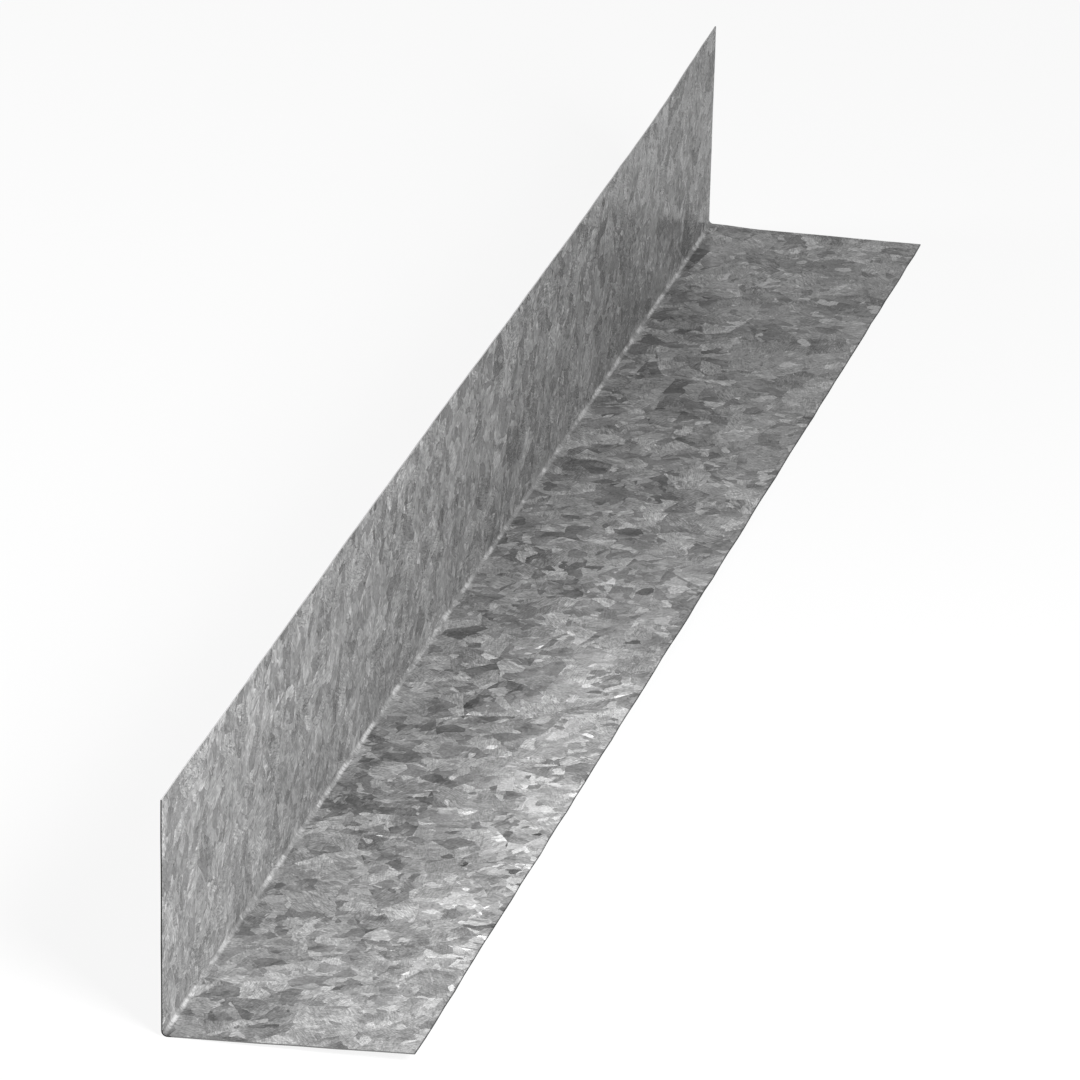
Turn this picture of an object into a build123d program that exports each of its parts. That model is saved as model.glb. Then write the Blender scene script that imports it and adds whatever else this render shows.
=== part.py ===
"""Metal angle section: a strip of light galvanised sheet, sheared to size and folded once into two legs.

Millimetres, +Z up. The base leg lies on Z = 0 and runs from the heel towards +X, the upright leg rises from
the heel, and the length runs along Y. The origin is the bottom centre of the box round the whole piece.
"""

import os

from build123d import *

# Driving dimensions. A leg is measured over the outside of the fold, from the heel to its toe.
BASE_LEG = 101.6
UPRIGHT_LEG = 101.6
LENGTH = 914.4
SHEET = 0.55  # thickness of the steel with its zinc
FOLD_INSIDE_RADIUS = 2.0
LEG_ANGLE = 90.0  # degrees between the legs
SHEAR_ROLL = 0.12  # radius that the shear draws down along each cut edge

# Both sides of the fold share one centre, so the sheet keeps its thickness round it.
FOLD_OUTSIDE_RADIUS = FOLD_INSIDE_RADIUS + SHEET


def section():
    """One end of the folded sheet: its outside line from toe to toe, with the thickness laid inside it."""
    heel = Vector(0, 0)
    base_toe = Vector(BASE_LEG, 0)
    upright_toe = Vector(UPRIGHT_LEG, 0).rotate(Axis.Z, LEG_ANGLE)
    with BuildSketch(Plane.XZ) as end:
        with BuildLine():
            outside = FilletPolyline(base_toe, heel, upright_toe, radius=FOLD_OUTSIDE_RADIUS)
            offset(outside, amount=SHEET, side=Side.RIGHT)
        make_face()
    return end.sketch


def outside_skin(angle):
    """The outside of the fold, and the outside of each leg, which runs on from it."""
    fold = angle.faces().filter_by(GeomType.CYLINDER).sort_by(SortBy.RADIUS)[-1]
    tangent_lines = fold.edges().filter_by(Axis.Y)
    return [face for face in angle.faces() if any(edge in tangent_lines for edge in face.edges())]


def cut_rim(skin):
    """The skin's outer edges, where the sheet was sheared: each belongs to only one face of the skin."""
    edges = [edge for face in skin for edge in face.edges()]
    return [edge for edge in edges if edges.count(edge) == 1]


def angle_section():
    """The section drawn out to its length, with the outside corner of every sheared edge rolled down."""
    with BuildPart() as angle:
        extrude(section(), amount=LENGTH / 2, both=True)
        fillet(cut_rim(outside_skin(angle)), radius=SHEAR_ROLL)
    box = angle.part.bounding_box()
    bottom_centre = Vector(box.center().X, box.center().Y, box.min.Z)
    return angle.part.moved(Location(-bottom_centre))


os.makedirs("parts", exist_ok=True)
export_step(angle_section(), "parts/angle_section.step")
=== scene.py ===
"""A length of galvanised steel angle: one sheared strip of sheet, folded once along its middle."""

import math

import bpy
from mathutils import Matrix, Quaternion, Vector


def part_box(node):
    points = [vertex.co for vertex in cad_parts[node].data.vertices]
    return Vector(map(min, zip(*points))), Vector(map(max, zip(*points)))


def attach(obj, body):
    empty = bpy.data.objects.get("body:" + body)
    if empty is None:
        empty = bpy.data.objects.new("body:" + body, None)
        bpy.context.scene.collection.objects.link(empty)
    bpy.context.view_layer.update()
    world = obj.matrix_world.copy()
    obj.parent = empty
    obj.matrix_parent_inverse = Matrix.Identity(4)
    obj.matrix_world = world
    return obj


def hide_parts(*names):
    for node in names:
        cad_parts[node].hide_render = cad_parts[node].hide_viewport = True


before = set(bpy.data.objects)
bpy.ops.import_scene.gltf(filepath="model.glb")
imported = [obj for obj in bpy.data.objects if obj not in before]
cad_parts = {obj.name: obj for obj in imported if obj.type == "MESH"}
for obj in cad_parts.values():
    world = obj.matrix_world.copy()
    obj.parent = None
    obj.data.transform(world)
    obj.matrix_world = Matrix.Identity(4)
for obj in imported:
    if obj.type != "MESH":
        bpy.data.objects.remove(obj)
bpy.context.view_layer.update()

MM = 0.001
LOW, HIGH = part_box("angle_section")
LEG = HIGH.x - LOW.x
LENGTH = HIGH.y - LOW.y
HEEL_X = LOW.x
FRONT_Y = LOW.y
BACK_Y = HIGH.y
SHEET = 0.55 * MM
FOLD_RADIUS = 2.55 * MM  # outside of the fold

# The strip before it is folded.
FLAT = LEG - FOLD_RADIUS  # each leg's flat, from its toe to the fold
FOLD_ARC = FOLD_RADIUS * math.pi / 2
BLANK = 2 * FLAT + FOLD_ARC
OFF_CENTRE = 0.6 * MM  # how much wider the base leg came out than the upright
SHEAR_FACET = 15 * MM  # the shear's bite: its edge runs straight for about this far
SHEAR_WANDER = 0.25 * MM  # how far the ends of each facet stray
SHORT_CORNER = 2.6 * MM  # how far short of square the upright's back corner was sheared
CUTS = 2  # each facet is divided into this many more

# The fold, and what handling has done to the finished angle.
FOLD_STEPS = 10
CLOSED = math.radians(2.40)  # how far the legs close past square
FRONT_CLOSED = math.radians(0.60)  # how much further they close towards the front end
TWIST = math.radians(2.42)  # the front end of both legs, turned against the back end
EDGE_ROLL = 0.05 * MM  # the drawn-down corner of a sheared edge
ROLLED_ABOVE = math.radians(60)  # only corners that turn by more than this are drawn down
SMOOTH_BELOW = math.radians(40)  # facets that meet at less than this are shaded as one curve
KINK = Vector((0, 0.6, 0.7)) * MM  # a knock that the heel took at its back end
KINK_REACH = 22 * MM
HAIR = 0.001 * MM  # less than any gap between vertices

# The millimetres by which the upright's top edge is bowed inwards, from its front end to its back.
TOP_BOW = [0.2, 0.5, 0.2, 0.3, 0.9, 1.7, 1.95, 1.6, -0.8]

# The material slots, in the order that the sheet is given them.
INSIDE, OUTSIDE, CUT_RIM, TOP_RIM, FRONT_RIM = range(5)

# The camera: a long lens from in front, above and to the right of the angle.
CAMERA_AZIMUTH = math.radians(14.296)
CAMERA_ELEVATION = math.radians(22.571)
CAMERA_DISTANCE = 4.3132
CAMERA_AIM = Vector((-0.01552, 0, 0.02829))
CAMERA_LENS = 336.9

# The light: a small lamp that the base's crystals mirror, and large ones from the right and behind.
FLASHING = Vector((0.053, -0.35, 0))  # the middle of the patch whose crystals flash at the camera
GLINT_REACH = 0.7  # how far off the lamp hangs that they flash in
GLINT_ROLL = math.radians(33.6)  # which turns the lamp's long side along the patch
GLINT_SPREAD = math.radians(80)
SKY_LIGHT = 0.25  # what the sky gives the object, of the white that the camera sees
FLOOR_GLOW = 0.88  # how much of the floor's white is its own; the rest takes the shadow

# The flat sheet, in the millimetres that its patterns read.
WIDE = BLANK / MM
LONG = LENGTH / MM
FOLD_LINE = (FLAT + FOLD_ARC / 2 - OFF_CENTRE) / MM  # from the upright's toe to the middle of the fold
OTHER_SIDE = 311  # how far off the spangle of the sheet's inside is taken, so that its sides differ

# The sizes of the spangle and of what lies on it, in millimetres.
GRAIN = 17.0  # a crystal, as it froze
PLATE = 8.5  # the plates inside it, which lie its way
LATH = 3.5  # the laths inside a plate
SPLINTER = 1.5  # the splinters inside a lath
CLOUD = 16.0  # slow changes of grey over all of them
SWIRL = dict(reach=3.0, size=30.0)  # the slow wander of the crystals' borders
NIBBLE = dict(reach=0.4, size=3.0, detail=1.0)  # the ragged line of each border
SMOKE = dict(reach=2.5, size=6.0, detail=3.0)  # the wisps that the clouds are drawn out into
BROAD_STREAK = 0.7  # along a plate's own grain
FINE_STREAK = 0.5  # along a crystal's
SPECK = 1.0
CRACK = 1.5
CLUMP = 12.0  # an unbroken stretch of crazing along the fold
CRAZING_FULL, CRAZING_GONE = 0.5, 2.0  # from the fold's middle
# The painted shadow along the base's toe: full up to the first distance, gone by the second.
TOE_SHADOW_FULL, TOE_SHADOW_GONE = 0.25, 0.65  # from the base's toe
CALMING = 3.0  # from the fold's middle, within which the two legs' looks blend

# How much each of them counts in the grey of a place.
GRAIN_WEIGHT = 0.45
CLOUD_WEIGHT = 0.8
PLATE_WEIGHT = 0.28
LATH_WEIGHT = 0.27
SPLINTER_WEIGHT = 0.2
UPRIGHT_CALM = 0.65  # how much of their difference the upright's crystals show

# What changes along the sheet: shares of its plates, and strengths. Part of it is painted light: dark
# crystals crowd towards the back as painted shade, and pale ones towards the front as painted
# highlight.
FRONT_DARK, BACK_DARK = 0.04, 0.22
FRONT_PALE, BACK_PALE = 0.13, 0.04
FRONT_STREAKS, BACK_STREAKS = 1.0, 1.45
# The facets' greys spread wider towards the front: painted highlight and shade, for the glints that
# the lit front shows.
FRONT_BOLDNESS, BACK_BOLDNESS = 1.3, 0.95
BOLD_LENGTH = 0.6  # of the sheet, over which the facets grow less bold

# The facets: most are dulled, some are still polished, and a few of those lean steeply.
DULL_SMOOTHEST, DULL_ROUGHEST = 0.42, 0.55
POLISHED_ROUGHNESS = 0.2
POLISHED_STREAKS = 0.4  # of the strength that streaks have on a dulled facet
DULL_TILT = 0.04
SHINY_TILT = 0.05
STEEP_TILT = 0.5
LATH_LEAN = 0.2  # how much of a facet's lean is its lath's own; the rest is its plate's

MID_GREY = (0.5, 0.5, 0.5)

# Sockets that share their names and so go by number: two numbers or colours to mix, and the mixture.
NUMBER_A, NUMBER_B, COLOUR_A, COLOUR_B = 2, 3, 6, 7
MIXED_COLOUR = 2


def select_where(piece, test):
    """Selects the vertices, in edit mode, whose place passes the test."""
    bpy.ops.mesh.select_all(action="DESELECT")
    bpy.ops.object.mode_set(mode="OBJECT")
    for vertex in piece.data.vertices:
        vertex.select = test(vertex.co)
    bpy.ops.object.mode_set(mode="EDIT")
    bpy.ops.mesh.select_mode(type="VERT")


def sheared_strip():
    """The flat strip, lying on the floor with its base-leg toe where the finished angle has it."""
    bpy.ops.object.select_all(action="DESELECT")
    across = round(BLANK / SHEAR_FACET)
    along = round(LENGTH / SHEAR_FACET)
    middle = HIGH.x - BLANK / 2 + OFF_CENTRE
    bpy.ops.mesh.primitive_grid_add(
        x_subdivisions=across, y_subdivisions=along, size=1, location=(middle, 0, 0)
    )
    strip = bpy.context.object
    strip.name = "galvanised_angle"
    strip.data.uv_layers[0].name = "flat_sheet"
    strip.scale = (BLANK, LENGTH, 1)
    bpy.ops.object.transform_apply(location=True, rotation=True, scale=True)
    bpy.ops.object.mode_set(mode="EDIT")
    bpy.ops.mesh.select_mode(type="VERT")
    bpy.ops.mesh.select_all(action="DESELECT")
    bpy.ops.mesh.select_non_manifold()
    bpy.ops.transform.vertex_random(offset=SHEAR_WANDER, uniform=1, normal=0, seed=4)
    bpy.ops.mesh.select_all(action="SELECT")
    bpy.ops.transform.resize(value=(1, 1, 0), center_override=(0, 0, 0))
    bpy.ops.mesh.subdivide(number_cuts=CUTS)
    upright_toe = middle - BLANK / 2
    select_where(strip, lambda place: place.x < upright_toe + MM and place.y > BACK_Y - MM)
    bpy.ops.transform.translate(
        value=(0, -SHORT_CORNER, 0), use_proportional_edit=True, proportional_edit_falloff="LINEAR",
        proportional_size=LEG
    )
    bpy.ops.object.mode_set(mode="OBJECT")
    return strip


def fold(strip):
    """Folds the strip up along its middle in small equal steps, the farthest crease first."""
    tangent = HEEL_X + FOLD_RADIUS
    creases = [tangent - FOLD_ARC * (step + 0.5) / FOLD_STEPS for step in range(FOLD_STEPS)]
    bpy.ops.object.mode_set(mode="EDIT")
    for crease in creases:
        bpy.ops.mesh.select_all(action="SELECT")
        bpy.ops.mesh.bisect(plane_co=(crease, 0, 0), plane_no=(1, 0, 0))
    for crease in reversed(creases):
        select_where(strip, lambda place: place.x < crease - HAIR)
        bpy.ops.transform.rotate(
            value=-(math.pi / 2 + CLOSED) / FOLD_STEPS, orient_axis="Y", center_override=(crease, 0, 0)
        )
    bpy.ops.object.mode_set(mode="OBJECT")
    return strip


def finish_with(piece, kind, **settings):
    """Adds a modifier with its settings and applies it."""
    modifier = piece.modifiers.new(kind.lower(), kind)
    for name, value in settings.items():
        setattr(modifier, name, value)
    bpy.context.view_layer.objects.active = piece
    bpy.ops.object.modifier_apply(modifier=modifier.name)


def bow(strip):
    """Bows the upright's top edge in and out along its length, with a lattice round the angle."""
    bpy.ops.object.select_all(action="DESELECT")
    bpy.ops.object.add(type="LATTICE", location=(0, 0, LEG / 2))
    cage = bpy.context.object
    cage.scale = (2 * LEG, LENGTH, LEG)
    cage.data.points_u = 2
    cage.data.points_v = len(TOP_BOW)
    cage.data.points_w = 2
    cage.data.interpolation_type_u = "KEY_LINEAR"
    cage.data.interpolation_type_v = "KEY_CARDINAL"
    cage.data.interpolation_type_w = "KEY_LINEAR"
    top = cage.data.points[2 * len(TOP_BOW):]
    for station, shift in enumerate(TOP_BOW):
        for point in top[2 * station:2 * station + 2]:
            point.co_deform.x += shift * MM / cage.scale.x
    bpy.context.view_layer.update()
    finish_with(strip, "LATTICE", object=cage)
    bpy.data.objects.remove(cage)
    return strip


def handle(strip):
    """Twists the folded angle about its heel and closes its upright further in towards the front."""
    upright = strip.vertex_groups.new(name="upright")
    for vertex in strip.data.vertices:
        share = min(1, max(0, vertex.co.z / FOLD_RADIUS))
        upright.add([vertex.index], share, "REPLACE")
    bpy.ops.object.select_all(action="DESELECT")
    bpy.ops.object.empty_add(location=(HEEL_X, BACK_Y, 0))
    pivot = bpy.context.object
    twist = dict(deform_method="TWIST", deform_axis="Y", origin=pivot)
    finish_with(strip, "SIMPLE_DEFORM", angle=-FRONT_CLOSED, vertex_group="upright", **twist)
    finish_with(strip, "SIMPLE_DEFORM", angle=TWIST, **twist)
    bpy.data.objects.remove(pivot)
    return strip


def knock(strip):
    """Kinks the heel up and out at its back end, where the angle was once dropped."""
    heel = Vector((HEEL_X, BACK_Y, 0))
    bpy.context.view_layer.objects.active = strip
    bpy.ops.object.mode_set(mode="EDIT")
    select_where(
        strip, lambda place: place.y > BACK_Y - MM and (place - heel).xz.length < 2 * FOLD_RADIUS
    )
    bpy.ops.transform.translate(
        value=KINK, use_proportional_edit=True, proportional_edit_falloff="SMOOTH",
        proportional_size=KINK_REACH
    )
    bpy.ops.object.mode_set(mode="OBJECT")
    return strip


def thicken(strip):
    """Gives the sheet its thickness inside the fold, and draws its sheared edges down a little."""
    finish_with(strip, "SOLIDIFY", thickness=SHEET, offset=1, use_even_offset=True,
                use_quality_normals=True, material_offset=OUTSIDE, material_offset_rim=CUT_RIM)
    bpy.ops.object.select_all(action="DESELECT")
    strip.select_set(True)
    bpy.ops.object.shade_smooth_by_angle(angle=SMOOTH_BELOW)
    finish_with(strip, "BEVEL", width=EDGE_ROLL, segments=2, limit_method="ANGLE",
                angle_limit=ROLLED_ABOVE, harden_normals=True, material=CUT_RIM)
    return strip


def tell_rims_apart(strip):
    """The shear left zinc over the upright's top rim, and smeared some over the base's front one."""
    for face in strip.data.polygons:
        on_top = face.center.z > LEG / 2 and face.normal.z > 0.5
        in_front = face.center.y < FRONT_Y + MM and face.center.x > HEEL_X + 2 * FOLD_RADIUS
        if face.material_index == CUT_RIM and on_top:
            face.material_index = TOP_RIM
        elif face.material_index == CUT_RIM and in_front:
            face.material_index = FRONT_RIM
    return strip


def linear(code):
    """A colour written as sRGB hex, as the linear colour that a shader takes."""
    parts = [int(code[i:i + 2], 16) / 255 for i in (1, 3, 5)]
    return [p / 12.92 if p <= 0.04045 else ((p + 0.055) / 1.055) ** 2.4 for p in parts] + [1]


def add(tree, kind, inputs=None, output=0, **settings):
    """Adds a node with its settings and links, and hands back one of its outputs."""
    made = tree.nodes.new(kind)
    for name, value in settings.items():
        setattr(made, name, value)
    for socket, value in (inputs or {}).items():
        if isinstance(value, bpy.types.NodeSocket):
            tree.links.new(value, made.inputs[socket])
        else:
            made.inputs[socket].default_value = value
    return made.outputs[output] if made.outputs else None


def new_material(name):
    """An empty material."""
    material = bpy.data.materials.new(name)
    material.use_nodes = True
    material.node_tree.nodes.clear()
    return material, material.node_tree


def stirred(tree, place, reach, size, detail=0.0):
    """A place pushed about by up to the reach, in swirls of one size, so straight borders wander."""
    noise = add(tree, "ShaderNodeTexNoise", {"Vector": place, "Scale": 1 / size, "Detail": detail},
                "Color", noise_dimensions="2D")
    centred = add(tree, "ShaderNodeVectorMath", {0: noise, 1: MID_GREY}, operation="SUBTRACT")
    push = add(tree, "ShaderNodeVectorMath", {0: centred, "Scale": 2 * reach}, operation="SCALE")
    return add(tree, "ShaderNodeVectorMath", {0: place, 1: push})


def combed(tree, place, parents, stretch):
    """Coordinates turned by their parent crystal's own angle and drawn out along it."""
    turn = add(tree, "ShaderNodeSeparateColor", {"Color": parents}, "Red")
    angle = add(tree, "ShaderNodeMath", {0: turn, 1: 2 * math.pi}, operation="MULTIPLY")
    turned = add(tree, "ShaderNodeVectorRotate", {"Vector": place, "Angle": angle},
                 rotation_type="Z_AXIS")
    return add(tree, "ShaderNodeMapping", {"Vector": turned, "Scale": (1, 1 / stretch, 1)})


def grown_in(tree, place, parents, size, stretch):
    """Angular crystals that all lie one way within each parent crystal, each of one random colour."""
    drawn_out = combed(tree, place, parents, stretch)
    return add(tree, "ShaderNodeTexVoronoi", {"Vector": drawn_out, "Scale": 1 / size}, "Color",
               voronoi_dimensions="2D", distance="CHEBYCHEV")


def some_of(tree, crystals, channel, share):
    """One on this share of the crystals, picked by a channel of their colour, and else nothing."""
    value = add(tree, "ShaderNodeSeparateColor", {"Color": crystals}, channel)
    return add(tree, "ShaderNodeMath", {0: value, 1: share}, operation="LESS_THAN")


def patches(tree, crystals, share, inner, inner_share, channel):
    """Some of the crystals, with some of the smaller ones inside them left out."""
    whole = some_of(tree, crystals, channel, share)
    kept = some_of(tree, inner, channel, inner_share)
    return add(tree, "ShaderNodeMath", {0: whole, 1: kept}, operation="MULTIPLY")


def flecks(tree, place, size, strength, detail):
    """Fine grain, to multiply a tone by: one, more or less as much as the strength."""
    noise = add(tree, "ShaderNodeTexNoise", {"Vector": place, "Scale": 1 / size, "Detail": detail,
                                             "Roughness": 0.8}, noise_dimensions="2D")
    centred = add(tree, "ShaderNodeMath", {0: noise, 1: 0.5}, operation="SUBTRACT")
    return add(tree, "ShaderNodeMath", {0: centred, 1: strength, 2: 1.0}, operation="MULTIPLY_ADD")


def weighted_sum(tree, weights):
    """Colours added up by their weights, each counted from mid grey."""
    total = (0, 0, 0)
    for colour, weight in weights:
        centred = add(tree, "ShaderNodeVectorMath", {0: colour, 1: MID_GREY}, operation="SUBTRACT")
        part = add(tree, "ShaderNodeVectorMath", {0: centred, "Scale": weight}, operation="SCALE")
        total = add(tree, "ShaderNodeVectorMath", {0: part, 1: total})
    return total


def spangle(tree, place, along):
    """Crystals inside crystals, as zinc freezes, with wandering borders, each of a random colour."""
    swirled = stirred(tree, place, **SWIRL)
    crisp = stirred(tree, swirled, **NIBBLE)
    grains = add(tree, "ShaderNodeTexVoronoi", {"Vector": crisp, "Scale": 1 / GRAIN}, "Color",
                 voronoi_dimensions="2D")
    plates = grown_in(tree, crisp, grains, PLATE, stretch=1.2)
    laths = grown_in(tree, crisp, plates, LATH, stretch=1.8)
    splinters = grown_in(tree, crisp, laths, SPLINTER, stretch=2.0)
    soft = stirred(tree, swirled, **SMOKE)
    clouds = add(tree, "ShaderNodeTexNoise", {"Vector": soft, "Scale": 1 / CLOUD, "Detail": 4.0},
                 "Color", noise_dimensions="2D")
    facets = weighted_sum(
        tree, ((plates, PLATE_WEIGHT), (laths, LATH_WEIGHT), (splinters, SPLINTER_WEIGHT))
    )
    # Bolder facets towards the front are painted glints and shade, where the front is more strongly
    # lit.
    bolder_as_painted_glints = add(tree, "ShaderNodeMapRange",
                 {"Value": along, "From Min": 0.0, "From Max": BOLD_LENGTH * LONG,
                  "To Min": FRONT_BOLDNESS, "To Max": BACK_BOLDNESS})
    facets = add(tree, "ShaderNodeVectorMath", {0: facets, "Scale": bolder_as_painted_glints}, operation="SCALE")
    broad = weighted_sum(tree, ((grains, GRAIN_WEIGHT), (clouds, CLOUD_WEIGHT)))
    return grains, plates, laths, add(tree, "ShaderNodeVectorMath", {0: broad, 1: facets})


def crystal_greys(tree, mixture, calm):
    """The mixture as five greys of weathered zinc, closer together where it is calm."""
    mixture = add(tree, "ShaderNodeVectorMath", {0: mixture, "Scale": calm}, operation="SCALE")
    level = add(tree, "ShaderNodeVectorMath", {0: mixture, 1: MID_GREY})
    shade = add(tree, "ShaderNodeSeparateXYZ", {"Vector": level}, "X")
    tones = add(tree, "ShaderNodeValToRGB", {"Fac": shade})
    ramp = tones.node.color_ramp
    ramp.elements[0].color = linear("#5a5a5a")
    ramp.elements[1].color = linear("#b0b0b0")
    for spot, code in ((0.2, "#707070"), (0.5, "#888888"), (0.8, "#9a9a9a")):
        ramp.elements.new(spot).color = linear(code)
    return tones


def tinted(tree, colour, tint, crystals, calm, strength):
    """The colour, drawn towards a tint on some crystals, and less so where it is calm."""
    share = add(tree, "ShaderNodeMath", {0: crystals, 1: calm}, operation="MULTIPLY")
    share = add(tree, "ShaderNodeMath", {0: share, 1: strength}, operation="MULTIPLY")
    return add(tree, "ShaderNodeMix", {"Factor": share, COLOUR_A: colour, COLOUR_B: linear(tint)},
               MIXED_COLOUR, data_type="RGBA")


def odd_crystals_and_painted_light(tree, colour, plates, laths, along, calm):
    """Scattered dark and pale crystals. That the dark ones crowd towards the back and the pale ones
    towards the front is painted shade and painted highlight, for the back lying in less light than the
    front.
    """
    dark_share_and_shade = add(tree, "ShaderNodeMapRange", {"Value": along, "From Min": 0.0, "From Max": LONG,
                                                  "To Min": FRONT_DARK, "To Max": BACK_DARK})
    dark = patches(tree, plates, dark_share_and_shade, inner=laths, inner_share=0.65, channel="Green")
    colour = tinted(tree, colour, "#646464", dark, calm, strength=0.75)
    pale_share_and_highlight = add(tree, "ShaderNodeMapRange", {"Value": along, "From Min": 0.0, "From Max": LONG,
                                                  "To Min": FRONT_PALE, "To Max": BACK_PALE})
    pale = patches(tree, plates, pale_share_and_highlight, inner=laths, inner_share=0.6, channel="Blue")
    pale_laths = some_of(tree, laths, channel="Red", share=0.04)
    pale = add(tree, "ShaderNodeMath", {0: pale, 1: pale_laths}, operation="MAXIMUM")
    return tinted(tree, colour, "#b8b8b8", pale, calm, strength=0.65)


def polished_facets(tree, plates, laths):
    """Which crystals are polished, and the roughness and normal of all: each leans its own way."""
    shiny = patches(tree, plates, share=0.32, inner=laths, inner_share=0.85, channel="Red")
    shiny_laths = some_of(tree, laths, channel="Green", share=0.05)
    shiny = add(tree, "ShaderNodeMath", {0: shiny, 1: shiny_laths}, operation="MAXIMUM")
    steep = some_of(tree, laths, channel="Blue", share=0.04)
    polished = add(tree, "ShaderNodeMath", {0: shiny, 1: steep}, operation="MAXIMUM")
    dulled = add(tree, "ShaderNodeMapRange", {"Value": laths, "From Min": 0.0, "From Max": 1.0,
                                              "To Min": DULL_SMOOTHEST, "To Max": DULL_ROUGHEST})
    rough = add(tree, "ShaderNodeMix",
                {"Factor": polished, NUMBER_A: dulled, NUMBER_B: POLISHED_ROUGHNESS})

    tilt = add(tree, "ShaderNodeMapRange", {"Value": shiny, "From Min": 0.0, "From Max": 1.0,
                                            "To Min": DULL_TILT, "To Max": SHINY_TILT})
    steep_tilt = add(tree, "ShaderNodeMath", {0: steep, 1: STEEP_TILT}, operation="MULTIPLY")
    tilt = add(tree, "ShaderNodeMath", {0: tilt, 1: steep_tilt}, operation="MAXIMUM")
    slope = add(tree, "ShaderNodeMix", {"Factor": LATH_LEAN, COLOUR_A: plates, COLOUR_B: laths},
                MIXED_COLOUR, data_type="RGBA")
    slope = add(tree, "ShaderNodeVectorMath", {0: slope, 1: MID_GREY}, operation="SUBTRACT")
    push = add(tree, "ShaderNodeVectorMath", {0: slope, "Scale": tilt}, operation="SCALE")
    normal = add(tree, "ShaderNodeNewGeometry", output="Normal")
    tilted = add(tree, "ShaderNodeVectorMath", {0: normal, 1: push})
    return polished, rough, add(tree, "ShaderNodeVectorMath", {0: tilted}, operation="NORMALIZE")


def streaked(tree, colour, place, crystals, along, calm, polished):
    """Streaks along each crystal's own grain, weaker on polished ones, and specks over them all."""
    # Those of real zinc are finer than a tenth of a millimetre and would not show, so they are drawn
    # at half a millimetre to a millimetre.
    strength = add(tree, "ShaderNodeMapRange", {"Value": along, "From Min": 0.0, "From Max": LONG,
                                                "To Min": FRONT_STREAKS, "To Max": BACK_STREAKS})
    strength = add(tree, "ShaderNodeMath", {0: strength, 1: calm}, operation="DIVIDE")
    weaker = add(tree, "ShaderNodeMapRange", {"Value": polished, "From Min": 0.0, "From Max": 1.0,
                                              "To Min": 1.0, "To Max": POLISHED_STREAKS})
    strength = add(tree, "ShaderNodeMath", {0: strength, 1: weaker}, operation="MULTIPLY")
    grains, plates = crystals
    broad = flecks(tree, combed(tree, place, plates, stretch=8.0), BROAD_STREAK, strength, detail=1.0)
    fine = flecks(tree, combed(tree, place, grains, stretch=11.0), FINE_STREAK, strength, detail=1.0)
    specks = flecks(tree, place, SPECK, strength=0.55, detail=0.0)
    for marks in (broad, fine, specks):
        colour = add(tree, "ShaderNodeVectorMath", {0: colour, 1: marks}, operation="MULTIPLY")
    return colour


def cracked(tree, place, stretch):
    """Fine cracks that run across the sheet: one in them, and down to a quarter between them."""
    drawn_out = add(tree, "ShaderNodeMapping", {"Vector": place, "Scale": (1 / stretch, 1, 1)})
    noise = add(tree, "ShaderNodeTexNoise", {"Vector": drawn_out, "Scale": 1 / CRACK, "Detail": 2.0},
                noise_dimensions="2D")
    return add(tree, "ShaderNodeMapRange", {"Value": noise, "From Min": 0.4, "From Max": 0.6,
                                            "To Min": 0.25, "To Max": 1.0})


def crazed_fold(tree, colour, place, cracks, off):
    """Pale stretches of crazing along the fold, where the zinc was squeezed, and dull ones between."""
    band = add(tree, "ShaderNodeMapRange",
               {"Value": off, "From Min": CRAZING_FULL, "From Max": CRAZING_GONE,
                "To Min": 0.9, "To Max": 0.0})
    share = add(tree, "ShaderNodeMath", {0: band, 1: cracks}, operation="MULTIPLY")
    clumps = add(tree, "ShaderNodeTexNoise", {"Vector": place, "Scale": 1 / CLUMP, "Detail": 2.0},
                 noise_dimensions="2D")
    clumps = add(tree, "ShaderNodeMapRange", {"Value": clumps, "From Min": 0.45, "From Max": 0.6,
                                              "To Min": 0.0, "To Max": 1.0})
    crazed = add(tree, "ShaderNodeMix",
                 {"Factor": clumps, COLOUR_A: linear("#7a7a7a"), COLOUR_B: linear("#bababa")},
                 MIXED_COLOUR, data_type="RGBA")
    return add(tree, "ShaderNodeMix", {"Factor": share, COLOUR_A: colour, COLOUR_B: crazed},
               MIXED_COLOUR, data_type="RGBA")


def toe_painted_shadow(tree, colour, cracks, inwards):
    """A dark line along the base's toe: painted shadow, the shade of the gap beneath the toe's edge.
    """
    raggedness = add(tree, "ShaderNodeMath", {0: cracks, 1: 0.2}, operation="MULTIPLY")
    inwards = add(tree, "ShaderNodeMath", {0: inwards, 1: raggedness})
    toe_shade = add(tree, "ShaderNodeMapRange",
                 {"Value": inwards, "From Min": TOE_SHADOW_FULL, "From Max": TOE_SHADOW_GONE,
                  "To Min": 0.45, "To Max": 1.0})
    return add(tree, "ShaderNodeVectorMath", {0: colour, 1: toe_shade}, operation="MULTIPLY")


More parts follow.
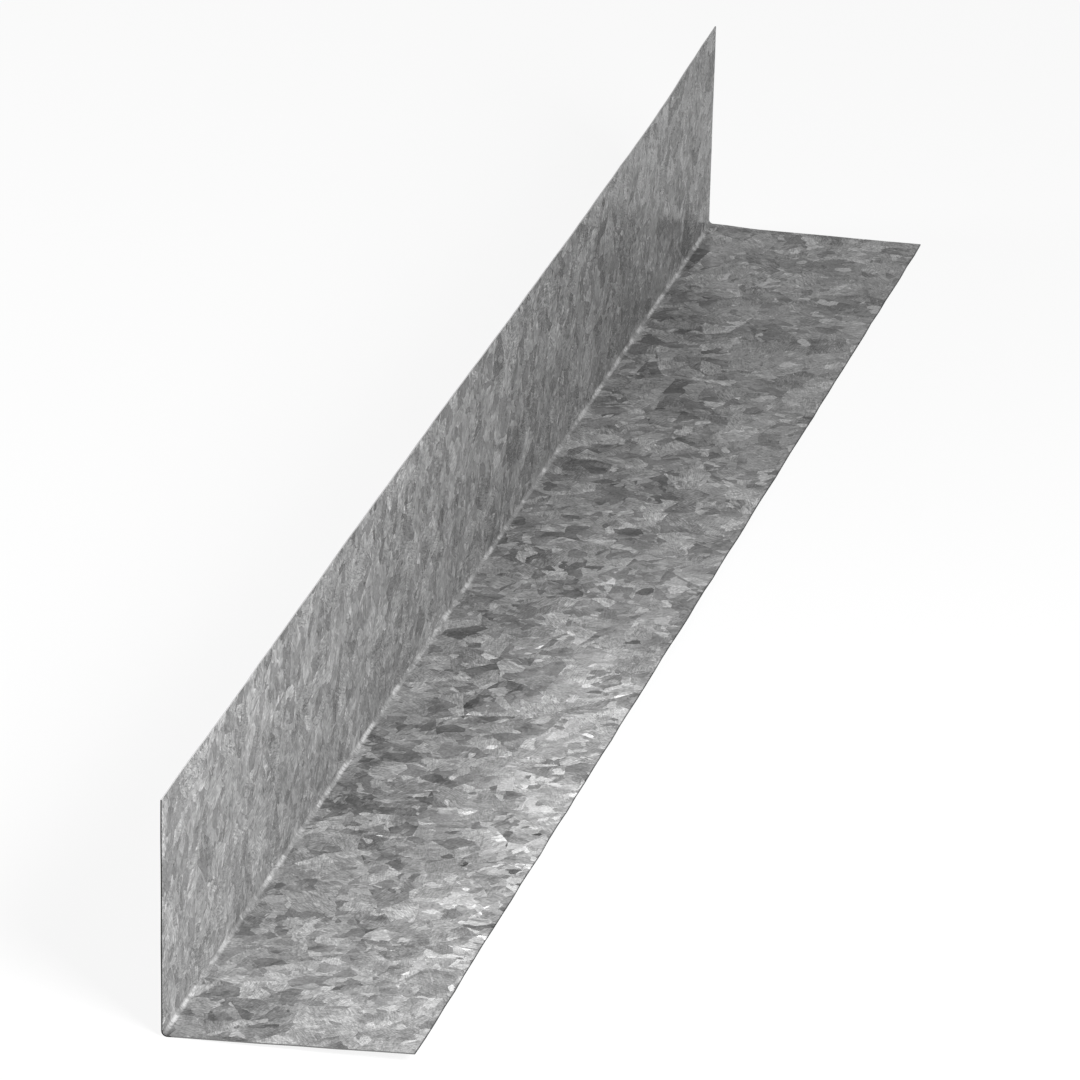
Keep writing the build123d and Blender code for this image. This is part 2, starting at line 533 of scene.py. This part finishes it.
def zinc(name, shift):
    """Hot-dip galvanising, frozen into large spangle and then weathered."""
    # The eye sees fingernail-sized grey crystals, each cut up into plates and laths of slightly
    # different greys and streaked along its own grain. Some flash white where they mirror a lamp and
    # the rest are matt, because a grey skin of oxide has dulled the metal and taken most of its shine
    # at a low angle.
    material, tree = new_material(name)
    uv = add(tree, "ShaderNodeUVMap", uv_map="flat_sheet")
    place = add(tree, "ShaderNodeMapping",
                {"Vector": uv, "Location": (shift, 0, 0), "Scale": (WIDE, LONG, 1)})
    across = add(tree, "ShaderNodeSeparateXYZ", {"Vector": place}, "X")
    along = add(tree, "ShaderNodeSeparateXYZ", {"Vector": place}, "Y")
    middle = FOLD_LINE + shift
    grains, plates, laths, mixture = spangle(tree, place, along)
    calm = add(tree, "ShaderNodeMapRange",
               {"Value": across, "From Min": middle - CALMING, "From Max": middle + CALMING,
                "To Min": UPRIGHT_CALM, "To Max": 1.0})
    colour = crystal_greys(tree, mixture, calm)
    # Dark crystals towards the back and pale ones towards the front: partly painted shade and painted
    # highlight.
    colour = odd_crystals_and_painted_light(tree, colour, plates, laths, along, calm)
    polished, rough, normal = polished_facets(tree, plates, laths)
    colour = streaked(tree, colour, place, (grains, plates), along, calm, polished)

    cracks = cracked(tree, place, stretch=2.5)
    off = add(tree, "ShaderNodeMath", {0: across, 1: middle}, operation="SUBTRACT")
    off = add(tree, "ShaderNodeMath", {0: off}, operation="ABSOLUTE")
    colour = crazed_fold(tree, colour, place, cracks, off)
    inwards = add(tree, "ShaderNodeMath", {0: WIDE + shift, 1: across}, operation="SUBTRACT")
    # A painted shadow darkens the zinc along the base's toe.
    colour = toe_painted_shadow(tree, colour, cracks, inwards)

    shader = add(tree, "ShaderNodeBsdfPrincipled",
                 {"Base Color": colour, "Metallic": 0.35, "Roughness": rough, "Normal": normal,
                  "Specular IOR Level": 0.15, "Specular Tint": linear("#a0a0a0")})
    add(tree, "ShaderNodeOutputMaterial", {"Surface": shader})
    return material


def cut_edge(name, code):
    """The torn grey section of the sheet."""
    # The eye sees a hairline with no shine: near black where bare steel has aged, paler where the
    # shear drew zinc down over it.
    material, tree = new_material(name)
    shader = add(tree, "ShaderNodeBsdfPrincipled", {"Base Color": linear(code), "Roughness": 0.8,
                                                    "Specular IOR Level": 0.2})
    add(tree, "ShaderNodeOutputMaterial", {"Surface": shader})
    return material


def look(piece):
    """Zinc on both faces, each with its own spangle, and what the shear left on the rims."""
    for material in (zinc("galvanised_zinc_inside", OTHER_SIDE), zinc("galvanised_zinc_outside", 0),
                     cut_edge("bare_steel_edge", "#1e1e1e"), cut_edge("zinc_coated_edge", "#b8b8b8"),
                     cut_edge("zinc_smeared_edge", "#5c5c5c")):
        piece.data.materials.append(material)


def seen_directly(tree):
    """One for rays that see the background: the camera's, and those that metal or glass sends on."""
    by_camera = add(tree, "ShaderNodeLightPath", output="Is Camera Ray")
    in_metal = add(tree, "ShaderNodeLightPath", output="Is Glossy Ray")
    in_glass = add(tree, "ShaderNodeLightPath", output="Is Transmission Ray")
    reflected = add(tree, "ShaderNodeMath", {0: in_metal, 1: in_glass}, operation="MAXIMUM")
    return add(tree, "ShaderNodeMath", {0: by_camera, 1: reflected}, operation="MAXIMUM")


def lay_floor():
    """A wide white floor, which keeps the object's shadow."""
    bpy.ops.object.select_all(action="DESELECT")
    bpy.ops.mesh.primitive_plane_add(size=20, location=(0, 0, 0))
    floor = bpy.context.object
    floor.name = "floor"
    material, tree = new_material("white_floor")
    matt = add(tree, "ShaderNodeBsdfDiffuse", {"Color": linear("#f2f2f2")})
    white = add(tree, "ShaderNodeEmission", {"Color": (1, 1, 1, 1), "Strength": 1.0})
    share = add(tree, "ShaderNodeMath", {0: seen_directly(tree), 1: FLOOR_GLOW}, operation="MULTIPLY")
    mixed = add(tree, "ShaderNodeMixShader", {"Fac": share, 1: matt, 2: white})
    add(tree, "ShaderNodeOutputMaterial", {"Surface": mixed})
    floor.data.materials.append(material)


def fill_sky():
    """A white sky, which lights the object only faintly."""
    world = bpy.data.worlds.new("studio")
    world.use_nodes = True
    tree = world.node_tree
    tree.nodes.clear()
    strength = add(tree, "ShaderNodeMapRange",
                   {"Value": seen_directly(tree), "From Min": 0.0, "From Max": 1.0,
                    "To Min": SKY_LIGHT, "To Max": 1.0})
    sky = add(tree, "ShaderNodeBackground", {"Color": (1, 1, 1, 1), "Strength": strength})
    add(tree, "ShaderNodeOutputWorld", {"Surface": sky})
    bpy.context.scene.world = world
    bpy.context.scene.view_settings.view_transform = "Standard"


def place_camera():
    """The camera, and the direction from the object towards it."""
    data = bpy.data.cameras.new("camera")
    camera = bpy.data.objects.new("camera", data)
    bpy.context.scene.collection.objects.link(camera)
    data.lens = CAMERA_LENS
    data.sensor_width = 36
    level = CAMERA_DISTANCE * math.cos(CAMERA_ELEVATION)
    offset = Vector((
        level * math.sin(CAMERA_AZIMUTH),
        -level * math.cos(CAMERA_AZIMUTH),
        CAMERA_DISTANCE * math.sin(CAMERA_ELEVATION),
    ))
    camera.location = CAMERA_AIM + offset
    camera.rotation_euler = (-offset).to_track_quat("-Z", "Y").to_euler()
    data.clip_end = 100
    bpy.context.scene.camera = camera
    return offset.normalized()


def lamp(name, place, aim, width, height, power, spread=math.pi, roll=0):
    """A soft lamp, turned to face its aim and rolled about its own axis."""
    data = bpy.data.lights.new(name, "AREA")
    data.shape = "RECTANGLE"
    data.size = width
    data.size_y = height
    data.energy = power
    data.spread = spread
    made = bpy.data.objects.new(name, data)
    bpy.context.scene.collection.objects.link(made)
    made.location = place
    facing = (Vector(aim) - Vector(place)).to_track_quat("-Z", "Y")
    made.rotation_euler = (facing @ Quaternion((0, 0, 1), roll)).to_euler()
    made.visible_camera = False


def hang_lamps(towards):
    """The small lamp that the base's crystals mirror towards the camera, and the two large ones."""
    mirrored = Vector((-towards.x, -towards.y, towards.z))
    lamp("glint_lamp", place=FLASHING + GLINT_REACH * mirrored, aim=FLASHING, width=0.19, height=0.13,
         power=0.067, spread=GLINT_SPREAD, roll=GLINT_ROLL)
    lamp("side_lamp", place=(0.78, -0.98, 0.76), aim=(0, -0.3, 0), width=0.5, height=0.5, power=32.2)
    # This one is too low to reach over the upright.
    lamp("back_lamp", place=(-1.3, 0.1, 0.3), aim=(0, 0.1, 0.05), width=0.5, height=0.3, power=11)


strip = sheared_strip()
look(strip)
tell_rims_apart(thicken(knock(handle(bow(fold(strip))))))
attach(strip, "root")
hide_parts("angle_section")
lay_floor()
fill_sky()
towards_camera = place_camera()
hang_lamps(towards_camera)
